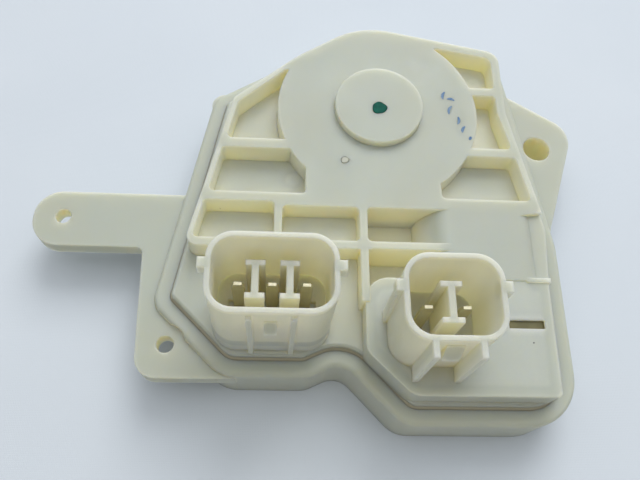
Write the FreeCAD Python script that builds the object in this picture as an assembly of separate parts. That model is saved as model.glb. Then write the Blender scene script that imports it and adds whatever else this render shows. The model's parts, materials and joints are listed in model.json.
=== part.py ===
import FreeCAD, Part
import math
import os

# Door latch actuator: a plastic tub and cover with two sockets, and the drive inside it.
# Millimetres. +Z is up, out of the socket mouths. The origin is on the underside of the
# case, below the centre of the worm wheel. X runs to the right, away from the long arm.

os.makedirs("parts", exist_ok=True)
V = FreeCAD.Vector
UP = V(0, 0, 1)

# Heights
floor_thick = 2.0
flange_top = 12.0
flange_thick = 4.0
band_top = 13.5
plate_top = 15.5
plate_thick = 2.0
plateau_top = 21.3
block_top = 21.0
disc_top = 23.3
mouth_top = 39.7
socket_floor = 21.3
socket_floor_thick = 2.0
deep_floor = 11.5
right_pocket_floor = 16.0
skin = 1.5

# Wall widths, measured inwards from the outside of the case
wall = 2.4
band_width = 3.7
rebate_gap = 0.05
ledge_width = 5.4
ledge_top = 12.3
ledge_under = 9.5
band_round = 1.1
plate_bevel = 0.5

# Clearances
running_gap = 0.05
body_gap = 0.4

# Case outline: corner points with their corner radius
case_corners = [
    (-48.0, -45.3, 5.0), (-33.0, -60.3, 8.0), (-15.5, -60.3, 6.0), (-8.2, -56.9, 5.0),
    (3.8, -69.7, 7.0), (40.4, -69.7, 11.0), (40.8, -29.5, 14.0), (32.9, 20.4, 4.0),
    (-3.0, 29.3, 23.0), (-38.2, 6.8, 3.5)]
flange_corners = [
    (-75.8, -19.0, 6.0), (-75.8, -32.0, 6.0), (-51.5, -32.0, 1.5), (-50.5, -60.6, 4.5),
    (-30.0, -60.5, 0), (-30.0, -19.0, 0)]
ear_corners = [(33.0, 12.8, 0), (50.0, 2.3, 6.5), (40.0, -27.0, 0), (30.0, -27.0, 0), (30.0, 12.8, 0)]
plateau_corners = [
    (-41.5, -35.1, 2.2), (-33.0, 1.7, 2.5), (-18.5, 14.4, 25.0), (-3.5, 24.3, 18.0),
    (29.9, 17.9, 3.5), (29.9, 0.3, 8.0), (35.7, -29.0, 6.0),
    (34.7, -41.6, 0), (29.5, -41.6, 0), (29.5, -35.1, 0)]
block_corners = [
    (-4.2, -41.2, 5.0), (-4.2, -56.6, 3.0), (4.6, -65.2, 4.0), (33.8, -65.2, 1.0), (34.3, -41.3, 0.8)]

# Mounting holes
arm_hole = (-69.4, -25.1)
arm_hole_radius = 1.7
corner_hole = (-44.7, -53.6)
corner_hole_radius = 1.8
corner_relief_radius = 4.2
ear_hole = (40.3, -3.1)
ear_hole_radius = 3.3
ear_post_radius = 5.7

# Gear train
worm_module = 0.8
worm_starts = 3
worm_radius = 2.8
worm_length = 14.0
worm_crest = 0.80
wheel_teeth = 48
wheel_thick = 3.6
wheel_crest = 0.74
gear_module = 1.0
pinion_teeth = 10
sector_teeth = 40
sector_cut_teeth = 7
pressure_angle = math.radians(25)
addendum = 0.85
dedendum = 1.10
backlash = 0.12
wheel_radius = worm_module * wheel_teeth / 2
worm_lead = math.pi * worm_module * worm_starts
lead_slope = worm_lead / (2 * math.pi * worm_radius)
centre_distance = gear_module * (pinion_teeth + sector_teeth) / 2

# Motor
motor_x = wheel_radius + worm_radius
motor_z = 10.6
motor_front = -25.5
motor_length = 30.8
motor_radius = 12.1
motor_flat = 18.3
can_wall = 0.8
cap_length = 3.0
cap_wall = 1.2
boss_radius = 4.0
boss_length = 1.6
shaft_radius = 1.15
bush_radius = 2.6
armature_radius = 7.9
magnet_inner = 8.3
magnet_half_angle = 44
stack_length = 13.0
stack_front = motor_front - 5.0
commutator_radius = 2.6
lug_half_pitch = 5.5
lug_half_thick = 0.3
lug_half_height = 1.1
brush_length = 2.4
brush_half = 1.0
core_hub_radius = 3.0
pole_half = 1.3
shoe_thick = 1.3
shoe_half = 5.4
coil_half = 2.5
coil_low = 3.4
coil_high = 6.3
coil_out = 2.2
bush_length = 2.4
lug_end = motor_front - motor_length - 3.1
motor_rear = motor_front - motor_length
stack_rear = stack_front - stack_length
motor_low = motor_z - motor_flat / 2
motor_high = motor_z + motor_flat / 2

# Output shaft and lever
output_direction = 220
output_x = centre_distance * math.cos(math.radians(output_direction))
output_y = centre_distance * math.sin(math.radians(output_direction))
mesh_direction = output_direction - 180
lever_swing = 20
lever_reach = 17.0
lever_low = 0.8
lever_thick = 3.0
lever_width = 6.4
lever_hub_radius = 6.0
lever_tip_radius = 3.8
lever_hole_radius = 2.1
recess_top = 4.6
recess_skin = 1.7
recess_hub_radius = lever_hub_radius + 2.2
recess_radius = lever_reach + lever_tip_radius + 2.2
recess_half_angle = lever_swing + math.degrees(math.asin((lever_width / 2 + body_gap) / recess_hub_radius))
rod_way_width = 9.0
rod_way_length = 30.0
output_radius = 3.0
output_pin_radius = 2.0
sector_low = 3.4
sector_high = 7.0
web_low = 6.7
web_high = 8.2
hub_high = 12.2
hub_radius = 4.2

# Wheel heights
axle_radius = 2.0
wheel_low = motor_z - wheel_thick / 2
wheel_high = motor_z + wheel_thick / 2
pinion_low = 3.2
pinion_high = 7.6
wheel_hub_high = 13.9
wheel_hub_radius = 4.6

# Sockets: centre and half sizes, then what stands in and on each, measured from its centre or mouth
socket3 = {
    "x": -23.0, "y": -47.85, "half_x": 11.8, "half_y": 7.55,
    "tab_front": 0.55, "tab_back": 2.45, "tab_reach": 1.4,
    "divider_front": -3.45, "divider_back": 3.85, "divider_width": 3.6, "divider_drop": 4.2,
    "fin_pitch": 7.9, "fin_width": 1.0, "fin_reach": 0.8, "fin_drop": 1.8, "fin_foot": plate_top,
    "ramp_left": -1.3, "ramp_right": 1.0, "ramp_reach": 1.3, "ramp_drop": 4.7, "ramp_length": 4.5}
socket2 = {
    "x": 9.05, "y": -51.5, "half_x": 9.15, "half_y": 8.1,
    "tab_front": 0.8, "tab_back": 2.9, "tab_reach": 1.3,
    "divider_front": -4.1, "divider_back": 3.7, "divider_width": 4.0, "divider_drop": 2.6,
    "fin_pitch": 8.3, "fin_width": 1.1, "fin_reach": 3.0, "fin_drop": 0.0, "fin_foot": block_top,
    "ramp_left": -1.65, "ramp_right": 1.65, "ramp_reach": 1.6, "ramp_drop": 2.7, "ramp_length": 5.0}
socket_wall = 1.0
socket_corner = 5.0
tab_depth = 3.0
divider_flange = 1.0
divider_stem = 1.3
tab_rib_reach = 0.8
pin_width = 2.3
pin_thick = 0.64
pin_pitch3 = 6.3
pin_pitch2 = 7.2
pin_tip = 33.8
pin_taper = 1.2
pin_tip_narrowing = 0.4
pin_set_back = 0.2
pin_well_side = 1.2
pin_well_back = 0.9
pin_well_depth = 1.0
strip_thick = 0.8
strip_width = 1.8


def save(name, shape):
    shape = shape.removeSplitter()
    if shape.ShapeType == "Compound" and len(shape.Solids) == 1:
        shape = shape.Solids[0]
    shape.exportStep("parts/" + name + ".step")
    print(name, len(shape.Solids), "solid", round(shape.Volume, 1), "mm3", shape.isValid())


def box(x0, x1, y0, y1, z0, z1):
    return Part.makeBox(x1 - x0, y1 - y0, z1 - z0, V(x0, y0, z0))


def post(x, y, radius, z0, z1):
    return Part.makeCylinder(radius, z1 - z0, V(x, y, z0))


def tube(x, y, outer, inner, z0, z1):
    return post(x, y, outer, z0, z1).cut(post(x, y, inner, z0 - 1, z1 + 1))


def rod_y(radius, y0, y1, x=motor_x, z=motor_z):
    return Part.makeCylinder(radius, y1 - y0, V(x, y0, z), V(0, 1, 0))


def outline(corners, z=0.0):
    """Closed wire through corner points, each rounded by its own radius."""
    count = len(corners)
    edges = []
    ends = []
    for i, (x, y, r) in enumerate(corners):
        here = V(x, y, z)
        back = V(corners[i - 1][0], corners[i - 1][1], z).sub(here).normalize()
        ahead = V(corners[(i + 1) % count][0], corners[(i + 1) % count][1], z).sub(here).normalize()
        if r == 0:
            ends.append((here, here))
            continue
        half = back.getAngle(ahead) / 2
        start = here.add(back * (r / math.tan(half)))
        stop = here.add(ahead * (r / math.tan(half)))
        middle_way = back.add(ahead).normalize()
        crown = here.add(middle_way * (r / math.sin(half) - r))
        ends.append((start, stop))
        edges.append((i, Part.Arc(start, crown, stop).toShape()))
    arcs = dict(edges)
    ordered = []
    for i in range(count):
        if i in arcs:
            ordered.append(arcs[i])
        ordered.append(Part.makeLine(ends[i][1], ends[(i + 1) % count][0]))
    return Part.Wire(ordered)


def slab(corners, z0, z1, grow=0.0):
    wire = outline(corners, z0)
    if grow:
        wire = wire.makeOffset2D(grow)
    return Part.Face(wire).extrude(UP * (z1 - z0))


def rounded_box(cx, cy, half_x, half_y, r, z0, z1):
    corners = [(cx - half_x, cy - half_y, r), (cx + half_x, cy - half_y, r),
               (cx + half_x, cy + half_y, r), (cx - half_x, cy + half_y, r)]
    return slab(corners, z0, z1)


def polar(cx, cy, radius, degrees, z=0.0):
    a = math.radians(degrees)
    return V(cx + radius * math.cos(a), cy + radius * math.sin(a), z)


def wedge(cx, cy, radius, direction, half_angle, z0, z1):
    """Pie slice of a disc round (cx, cy)."""
    reach = radius / math.cos(math.radians(half_angle)) * 1.05
    points = [V(cx, cy, z0), polar(cx, cy, reach, direction - half_angle, z0),
              polar(cx, cy, reach * 1.4, direction, z0), polar(cx, cy, reach, direction + half_angle, z0)]
    slice_body = Part.Face(Part.makePolygon(points + [points[0]])).extrude(UP * (z1 - z0))
    return slice_body.common(post(cx, cy, radius, z0, z1))


def bar(p, q, width, z0, z1):
    """Straight flat bar between two plan points."""
    length = math.hypot(q[0] - p[0], q[1] - p[1])
    body = Part.makeBox(length, width, z1 - z0, V(0, -width / 2, z0))
    body.rotate(V(0, 0, 0), UP, math.degrees(math.atan2(q[1] - p[1], q[0] - p[0])))
    return body.translate(V(p[0], p[1], 0))


def fused(shapes):
    body = shapes[0]
    if len(shapes) > 1:
        body = body.fuse(shapes[1:])
    return body


def faceted(rings):
    """Solid through rings of points, with flat triangles between one ring and the next."""
    faces = [Part.Face(Part.makePolygon(ring + [ring[0]])) for ring in (rings[0], rings[-1])]
    for low, high in zip(rings[:-1], rings[1:]):
        for i in range(len(low)):
            j = (i + 1) % len(low)
            for corners in ((low[i], low[j], high[j]), (low[i], high[j], high[i])):
                faces.append(Part.Face(Part.makePolygon(list(corners) + [corners[0]])))
    shell = Part.makeShell(faces)
    shell.sewShape()
    body = Part.makeSolid(shell)
    if body.Volume < 0:
        body.reverse()
    return body


def involute_angle(radius, base):
    if radius <= base:
        return 0.0
    roll = math.sqrt((radius / base) ** 2 - 1)
    return roll - math.atan(roll)


def tooth_half_angle(radius, teeth):
    """Half the angle a tooth covers at a radius, for the pinion and the sector."""
    pitch = gear_module * teeth / 2
    base = pitch * math.cos(pressure_angle)
    at_pitch = math.pi / (2 * teeth) - backlash / (2 * pitch)
    return at_pitch + involute_angle(pitch, base) - involute_angle(radius, base)


def spur_teeth(teeth, first, last, turn, z0, z1):
    """Separate teeth first..last of a spur gear round the Z axis, standing on its root circle."""
    pitch = gear_module * teeth / 2
    root = pitch - dedendum * gear_module
    tip = pitch + addendum * gear_module
    steps = 5
    radii = [root - 0.3] + [root + (tip - root) * k / steps for k in range(steps + 1)]
    made = []
    for n in range(first, last + 1):
        centre = math.radians(turn) + 2 * math.pi * n / teeth
        right = [(r, centre - tooth_half_angle(r, teeth)) for r in radii]
        left = [(r, centre + tooth_half_angle(r, teeth)) for r in reversed(radii)]
        points = [V(r * math.cos(a), r * math.sin(a), z0) for r, a in right + left]
        made.append(Part.Face(Part.makePolygon(points + [points[0]])).extrude(UP * (z1 - z0)))
    return made


# Motor shell: a round can with two flats
def motor_profile(radius, flat, y0, y1):
    between_flats = box(motor_x - radius, motor_x + radius, y0, y1, motor_z - flat / 2, motor_z + flat / 2)
    return rod_y(radius, y0, y1).common(between_flats)


can_end = motor_rear + cap_length
can = motor_profile(motor_radius, motor_flat, can_end, motor_front)
inner_round, inner_flat = motor_radius - can_wall, motor_flat - 2 * can_wall
can_core = motor_profile(inner_round, inner_flat, can_end - 1, motor_front - can_wall)
can = can.fuse(rod_y(boss_radius, motor_front, motor_front + boss_length)).cut(can_core)
can = can.cut(rod_y(bush_radius, motor_front - 4, motor_front + boss_length + 1))
save("motor_can", can)

cap = motor_profile(motor_radius, motor_flat, motor_rear, can_end)
cap_spigot = motor_profile(inner_round, inner_flat, can_end, can_end + 1.5)
cap_hollow = rod_y(magnet_inner, motor_rear + cap_wall, can_end + 3)
cap = cap.fuse(cap_spigot).cut(cap_hollow).cut(rod_y(bush_radius, motor_rear - 1, can_end))
for side in (-1, 1):
    lug_x = motor_x + side * lug_half_pitch
    cap = cap.cut(box(lug_x - lug_half_thick, lug_x + lug_half_thick, motor_rear - 1, motor_rear + 2,
                      motor_z - lug_half_height, motor_z + lug_half_height))
save("motor_end_cap", cap)

front_bush = rod_y(bush_radius, motor_front + boss_length - 1.6 * bush_length, motor_front + boss_length)
save("front_bush", front_bush.cut(rod_y(shaft_radius + running_gap, motor_front - 4, motor_front + 3)))
rear_bush = rod_y(bush_radius, motor_rear, motor_rear + bush_length)
save("rear_bush", rear_bush.cut(rod_y(shaft_radius + running_gap, motor_rear - 1, motor_rear + 4)))

# Field magnets: two curved blocks against the round sides of the can
magnet_ring = rod_y(motor_radius - can_wall, stack_front - stack_length - 1, stack_front + 1)
magnet_ring = magnet_ring.cut(rod_y(magnet_inner, stack_front - stack_length - 2, stack_front + 2))
for name, side in (("magnet_left", -1), ("magnet_right", 1)):
    reach = 2 * motor_radius
    rise = reach * math.tan(math.radians(magnet_half_angle))
    points = [V(motor_x, 0, motor_z), V(motor_x + side * reach, 0, motor_z - rise),
              V(motor_x + side * reach, 0, motor_z + rise)]
    keep = Part.Face(Part.makePolygon(points + [points[0]])).extrude(V(0, -60, 0))
    save(name, magnet_ring.common(keep))

# Brushes and the blades that carry them through the end cap
for name, side in (("left", -1), ("right", 1)):
    x_in = motor_x + side * (commutator_radius + body_gap)
    x_out = motor_x + side * lug_half_pitch
    low, high = sorted((x_in, x_out - side * lug_half_thick))
    brush_y = motor_rear + cap_length + body_gap
    brush = box(low, high, brush_y, brush_y + brush_length, motor_z - brush_half, motor_z + brush_half)
    save("brush_" + name, brush)
    lug = box(x_out - lug_half_thick, x_out + lug_half_thick, lug_end, brush_y + brush_length + 0.8,
              motor_z - lug_half_height, motor_z + lug_half_height)
    save("motor_lug_" + name, lug)

# Armature: shaft, three-pole stack, three coils and the commutator
shaft_end = worm_length / 2 + 1.0
shaft_start = motor_rear + 0.6
save("armature_shaft", rod_y(shaft_radius, shaft_start, shaft_end))


def around_motor(shape, degrees):
    turned = shape.copy()
    turned.rotate(V(motor_x, 0, motor_z), V(0, 1, 0), degrees)
    return turned


pole_reach = armature_radius - shoe_thick / 2
stack = rod_y(core_hub_radius, stack_rear, stack_front)
for pole in range(3):
    neck = box(motor_x - pole_half, motor_x + pole_half, stack_rear, stack_front,
               motor_z, motor_z + pole_reach)
    shoe = rod_y(armature_radius, stack_rear, stack_front)
    shoe = shoe.cut(rod_y(armature_radius - shoe_thick, stack_rear, stack_front))
    shoe = shoe.common(box(motor_x - shoe_half, motor_x + shoe_half, stack_rear, stack_front,
                           motor_z, motor_z + armature_radius + 1))
    stack = stack.fuse([around_motor(neck, 120 * pole), around_motor(shoe, 120 * pole)])
save("armature_stack", stack.cut(rod_y(shaft_radius, stack_rear - 1, stack_front + 1)))

coil_back, coil_front = stack_rear - coil_out, stack_front + coil_out
for pole, name in enumerate(("coil_a", "coil_b", "coil_c")):
    winding = box(motor_x - coil_half, motor_x + coil_half, coil_back, coil_front,
                  motor_z + coil_low, motor_z + coil_high)
    winding = winding.cut(box(motor_x - pole_half, motor_x + pole_half, stack_rear, stack_front,
                              motor_z, motor_z + armature_radius))
    winding = winding.cut(rod_y(core_hub_radius, coil_back, coil_front))
    winding = winding.common(rod_y(armature_radius - shoe_thick - running_gap, coil_back, coil_front))
    save(name, around_motor(winding, 120 * pole))

commutator_start = motor_rear + cap_length
commutator_slot = 0.4
commutator = rod_y(commutator_radius, commutator_start, stack_rear - coil_out - 0.2)
commutator = commutator.cut(rod_y(shaft_radius, commutator_start - 1, stack_rear))
for slot in range(3):
    gap = box(motor_x - commutator_slot / 2, motor_x + commutator_slot / 2,
              commutator_start - 1, stack_rear - 4,
              motor_z + commutator_radius - 0.6, motor_z + commutator_radius + 1)
    commutator = commutator.cut(around_motor(gap, 120 * slot + 60))
save("commutator", commutator)

# Worm: a core with three threads, a crest facing the wheel at mid height
crest_radius = worm_radius + worm_module
core_radius = worm_radius - 1.2 * worm_module
flank = math.tan(math.radians(20)) * worm_module
half_crest = worm_crest / 2 - flank / 2
half_middle = half_crest + flank
half_foot = half_crest + 2.2 * flank
worm_neck = 3.0
step_angle = math.radians(24)
worm_steps = math.ceil(worm_length / worm_lead * 2 * math.pi / step_angle)
thread_profile = [(core_radius, -half_foot), (worm_radius, -half_middle), (crest_radius, -half_crest),
                  (crest_radius, half_crest), (worm_radius, half_middle), (core_radius, half_foot)]


def worm_ring(y):
    """Cross-section of the worm at y: the thread profile of every start, laid round the axis."""
    points = []
    for start in range(worm_starts):
        for radius, along in thread_profile:
            angle = math.pi + 2 * math.pi * ((y - along) / worm_lead - start / worm_starts)
            points.append(V(motor_x + radius * math.cos(angle), y, motor_z - radius * math.sin(angle)))
    return points


worm = faceted([worm_ring(worm_length * (step / worm_steps - 0.5)) for step in range(worm_steps + 1)])
worm = worm.fuse(rod_y(core_radius, -worm_length / 2 - worm_neck, -worm_length / 2))
save("worm", worm.cut(rod_y(shaft_radius, -20, 20)))

# Worm wheel: helical teeth round a webbed disc
tooth_pitch = 2 * math.pi / wheel_teeth
tip_radius = wheel_radius + worm_module * 0.95
root_radius = wheel_radius - 1.2 * worm_module
half_tip = (wheel_crest / 2 - flank / 2) / wheel_radius
half_root = (wheel_crest / 2 + math.tan(math.radians(20)) * 1.2 * worm_module) / wheel_radius
wheel_twist = wheel_thick / 2 * lead_slope / wheel_radius


def wheel_ring(z, twist):
    points = []
    for n in range(wheel_teeth):
        centre = (n + 0.5) * tooth_pitch + twist
        for radius, angle in ((root_radius, -half_root), (tip_radius, -half_tip),
                              (tip_radius, half_tip), (root_radius, half_root)):
            points.append(V(radius * math.cos(centre + angle), radius * math.sin(centre + angle), z))
    return points


wheel = faceted([wheel_ring(wheel_low, -wheel_twist), wheel_ring(motor_z, 0),
                 wheel_ring(wheel_high, wheel_twist)])
for z0, z1 in ((wheel_low - 1, wheel_low + 0.8), (wheel_high - 0.8, wheel_high + 1)):
    wheel = wheel.cut(tube(0, 0, root_radius - 2.2, wheel_hub_radius + 1.4, z0, z1))
wheel = wheel.fuse(post(0, 0, wheel_hub_radius, pinion_high, wheel_hub_high))
save("worm_wheel", wheel.cut(post(0, 0, axle_radius + running_gap, 0, 30)))

pinion_root = gear_module * (pinion_teeth / 2 - dedendum)
pinion = post(0, 0, pinion_root, pinion_low, pinion_high)
pinion_turn = output_direction + 180 / pinion_teeth
pinion = pinion.fuse(spur_teeth(pinion_teeth, 0, pinion_teeth - 1, pinion_turn, pinion_low, pinion_high))
save("drive_pinion", pinion.cut(post(0, 0, axle_radius + running_gap, 0, 30)))

axle_low = 0.9
axle_high = disc_top - 2.0
save("wheel_axle", post(0, 0, axle_radius, axle_low, axle_high))

# Toothed sector on the output shaft
sector_root = gear_module * (sector_teeth / 2 - dedendum)
half_fan = 180 * (sector_cut_teeth + 0.6) / sector_teeth
rim_inner = 11.4
rim = wedge(0, 0, sector_root, mesh_direction, half_fan, sector_low, sector_high)
rim = rim.cut(post(0, 0, rim_inner + 1.4, sector_low, sector_high))
half_count = sector_cut_teeth // 2
teeth = spur_teeth(sector_teeth, -half_count, half_count, mesh_direction, sector_low, sector_high)
web = wedge(0, 0, rim_inner + 3.0, mesh_direction, half_fan, web_low, web_high)
riser = wedge(0, 0, rim_inner + 1.8, mesh_direction, half_fan, sector_low, web_high).cut(
    post(0, 0, rim_inner, sector_low, web_high))
arm_direction = 257
arm_width = 6.0
arm_low = 9.0
arm_high = 10.6
outer_track = 13.0
track_width = 1.8
track_gap = 1.7
inner_track = outer_track - track_width - track_gap
finger_half = 0.5
arm_reach = outer_track + finger_half + 1.1
arm_end = polar(0, 0, arm_reach, arm_direction)
hub = post(0, 0, hub_radius, web_low, hub_high)
arm = bar((0, 0), (arm_end.x, arm_end.y), arm_width, arm_low, arm_high)
sector = hub.fuse([rim, web, riser, arm] + teeth)
square = 2.1
drive_hole = box(-square, square, -square, square, web_low - 1, hub_high + 1)
sector = sector.cut(drive_hole).translate(V(output_x, output_y, 0))
save("sector_gear", sector)

shaft = post(0, 0, output_radius, lever_low + lever_thick, web_low)
shaft = shaft.fuse([box(-square, square, -square, square, web_low, hub_high),
                    box(-square, square, -square, square, lever_low, lever_low + lever_thick),
                    post(0, 0, output_pin_radius, hub_high, plate_top - 1.1)])
save("output_shaft", shaft.translate(V(output_x, output_y, 0)))

# Outside lever under the case, with the hole for the lock rod
lever_high = lever_low + lever_thick
lever_tip = polar(0, 0, lever_reach, output_direction)
lever = fused([post(0, 0, lever_hub_radius, lever_low, lever_high),
               bar((0, 0), (lever_tip.x, lever_tip.y), lever_width, lever_low, lever_high),
               post(lever_tip.x, lever_tip.y, lever_tip_radius, lever_low, lever_high)])
lever = lever.cut(post(lever_tip.x, lever_tip.y, lever_hole_radius, 0, lever_high + 1))
lever = lever.cut(box(-square, square, -square, square, 0, lever_high + 1))
save("output_lever", lever.translate(V(output_x, output_y, 0)))

# Switch wiper riding on the sector's arm, under the contact tracks
track_low = plate_top - plate_thick - strip_thick
wiper_top = track_low - body_gap
wiper_half = 1.3
wiper_thick = 0.4
wiper_tail = 2.4
wiper_nose = 0.9
wiper_start = inner_track - finger_half - wiper_tail
wiper_end = outer_track + finger_half + wiper_nose
wiper = bar((wiper_start, 0), (wiper_end, 0), 2 * wiper_half, arm_high, arm_high + wiper_thick)
for radius in (inner_track, outer_track):
    finger = box(radius - finger_half, radius + finger_half, -wiper_half, -wiper_half + 0.8,
                 arm_high + wiper_thick, wiper_top)
    wiper = wiper.fuse(finger)
wiper.rotate(V(0, 0, 0), UP, arm_direction)
save("switch_wiper", wiper.translate(V(output_x, output_y, 0)))


def arc_strip(radius, direction, half_angle, z0, z1):
    ring = wedge(0, 0, radius + track_width / 2, direction, half_angle, z0, z1)
    return ring.cut(post(0, 0, radius - track_width / 2, z0, z1)).translate(V(output_x, output_y, 0))


def blade(x, y, z0, z1):
    """Upright connector pin with a tapered tip."""
    half = pin_width / 2
    tip = half - pin_tip_narrowing
    points = [V(x - half, y - pin_thick / 2, z0), V(x + half, y - pin_thick / 2, z0),
              V(x + half, y - pin_thick / 2, z1 - pin_taper), V(x + tip, y - pin_thick / 2, z1),
              V(x - tip, y - pin_thick / 2, z1), V(x - half, y - pin_thick / 2, z1 - pin_taper)]
    return Part.Face(Part.makePolygon(points + [points[0]])).extrude(V(0, pin_thick, 0))


track_high = track_low + strip_thick
pin_y3 = socket3["y"] - pin_set_back
tracks = {}
side_swing = lever_swing + 1
side_half = 13
common_half = lever_swing + side_half
strip_bend = 4.0
left_dir = arm_direction - side_swing
right_dir = arm_direction + side_swing
left_at = polar(output_x, output_y, outer_track, left_dir)
right_at = polar(output_x, output_y, outer_track, right_dir)
centre_at = polar(output_x, output_y, inner_track, arm_direction)
middle_at = polar(output_x, output_y, outer_track + strip_bend, arm_direction)
pin_x3 = [socket3["x"] + step * pin_pitch3 for step in (-1, 0, 1)]
routes = {
    "switch_contact_left": (
        arc_strip(outer_track, left_dir, side_half, track_low, track_high),
        [(left_at.x, left_at.y), (pin_x3[0], left_at.y - strip_bend), (pin_x3[0], pin_y3)]),
    "switch_contact_common": (
        arc_strip(inner_track, arm_direction, common_half, track_low, track_high),
        [(centre_at.x, centre_at.y), (middle_at.x, middle_at.y), (pin_x3[1], pin_y3)]),
    "switch_contact_right": (
        arc_strip(outer_track, right_dir, side_half, track_low, track_high),
        [(right_at.x, right_at.y), (pin_x3[2], right_at.y - strip_bend), (pin_x3[2], pin_y3)])}
contacts = {}
for number, name in enumerate(routes):
    track, path = routes[name]
    pieces = [track, blade(pin_x3[number], pin_y3, track_low, pin_tip)]
    for p, q in zip(path[:-1], path[1:]):
        pieces.append(bar(p, q, strip_width, track_low, track_high))
    for p in path[1:]:
        pieces.append(post(p[0], p[1], strip_width / 2, track_low, track_high))
    contacts[name] = fused(pieces)
    save(name, contacts[name])

# Motor feeds: pins of the two-way socket, strips round the motor to its lugs
pin_y2 = socket2["y"] - pin_set_back
pin_x2 = [socket2["x"] - pin_pitch2 / 2, socket2["x"] + pin_pitch2 / 2]
half_strip = pin_thick / 2
half_pin = pin_width / 2
low0, low1 = motor_z - 4.1, motor_z - 4.1 + pin_width
feed_y = lug_end - pin_thick
lug_left = motor_x - lug_half_pitch
feed_left = fused([
    blade(pin_x2[0], pin_y2, low0, pin_tip),
    box(pin_x2[0] - half_strip, pin_x2[0] + half_strip, feed_y, pin_y2, low0, low1),
    box(pin_x2[0] - half_strip, lug_left + 1.0, feed_y, lug_end, low0, low1),
    box(lug_left - 1.0, lug_left + 1.0, feed_y, lug_end, low0, motor_z + lug_half_height)])
save("motor_feed_left", feed_left)

high0, high1 = motor_z + 0.4, motor_z + 0.4 + pin_width
drop_x = pin_x2[0] + half_pin + 1.25
bridge = motor_high + 0.25
outer_y = feed_y - 1.6
lug_right = motor_x + lug_half_pitch
feed_right = fused([
    blade(pin_x2[1], pin_y2, bridge, pin_tip),
    box(drop_x, pin_x2[1] + half_pin, pin_y2 - half_pin, pin_y2 + half_pin, bridge, bridge + pin_thick),
    box(drop_x, drop_x + pin_thick, pin_y2 - half_pin, pin_y2 + half_pin, high0, bridge + pin_thick),
    box(drop_x, drop_x + pin_thick, outer_y, pin_y2, high0, high1),
    box(drop_x, lug_right + half_strip, outer_y, outer_y + pin_thick, high0, high1),
    box(lug_right - half_strip, lug_right + half_strip, outer_y, lug_end, high0, high1)])
save("motor_feed_right", feed_right)

# Base case
base = slab(case_corners, 0, band_top)
top_edges = [e for e in base.Edges if abs(e.BoundBox.ZMin - band_top) < 0.01 and e.BoundBox.ZLength < 0.01]
base = base.makeFillet(band_round, top_edges)
clip_x, clip_y, clip_radius = -35.5, 5.0, 3.2
flange_low = flange_top - flange_thick
arm_rib_left, arm_rib_right, arm_rib_y, arm_rib_thick, arm_rib_depth = -64.0, -44.0, -25.3, 1.4, 2.2
base = base.fuse([
    slab(flange_corners, flange_low, flange_top),
    slab(ear_corners, flange_low, flange_top),
    post(ear_hole[0], ear_hole[1], ear_post_radius, 0, flange_top),
    post(clip_x, clip_y, clip_radius, 0, band_top - 0.4),
    box(arm_rib_left, arm_rib_right, arm_rib_y - arm_rib_thick / 2, arm_rib_y + arm_rib_thick / 2,
        flange_low - arm_rib_depth, flange_low)])
base = base.cut([
    slab(case_corners, floor_thick, ledge_under, -wall),
    slab(case_corners, ledge_under - 0.1, band_top + 1, -ledge_width),
    slab(case_corners, ledge_top, band_top + 1, -band_width),
    post(corner_hole[0], corner_hole[1], corner_relief_radius, flange_top, band_top + 1),
    post(corner_hole[0], corner_hole[1], corner_hole_radius, 0, band_top),
    post(arm_hole[0], arm_hole[1], arm_hole_radius, 0, band_top),
    post(ear_hole[0], ear_hole[1], ear_hole_radius, -1, band_top)])

seal_outer = band_width + 0.5
seal_inner = band_width + 1.2
seal_depth = 0.8
gasket = slab(case_corners, ledge_top - seal_depth, ledge_top, -seal_outer)
gasket = gasket.cut(slab(case_corners, ledge_top - seal_depth - 1, ledge_top + 1, -seal_inner))
base = base.cut(gasket)
save("cover_gasket", gasket)


def lever_recess(grow, z0, z1):
    """Space the outside lever and its rod sweep, as a solid grown by a wall."""
    rod_way = math.radians(output_direction - 90)
    rod_start = (output_x + lever_tip.x, output_y + lever_tip.y)
    rod_end = (rod_start[0] + rod_way_length * math.cos(rod_way),
               rod_start[1] + rod_way_length * math.sin(rod_way))
    grown_angle = recess_half_angle + math.degrees(grow / ((recess_hub_radius + recess_radius) / 2))
    return fused([
        post(output_x, output_y, recess_hub_radius + grow, z0, z1),
        wedge(output_x, output_y, recess_radius + grow, output_direction, grown_angle, z0, z1),
        bar(rod_start, rod_end, rod_way_width + 2 * grow, z0, z1)])


inside = slab(case_corners, 0, 30, -wall + 0.2)
raised = lever_recess(recess_skin, 0.5, recess_top + recess_skin).common(inside)
base = base.fuse(raised).cut(lever_recess(0, -1, recess_top))
seal_radius = 4.5
seal_z = recess_top + recess_skin - 0.9
seal = tube(output_x, output_y, seal_radius, output_radius + running_gap, seal_z, recess_top + recess_skin)
save("shaft_seal", seal)
base = base.cut([post(output_x, output_y, output_radius + running_gap, 0, 10),
                 post(output_x, output_y, seal_radius, seal_z, 10)])

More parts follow.
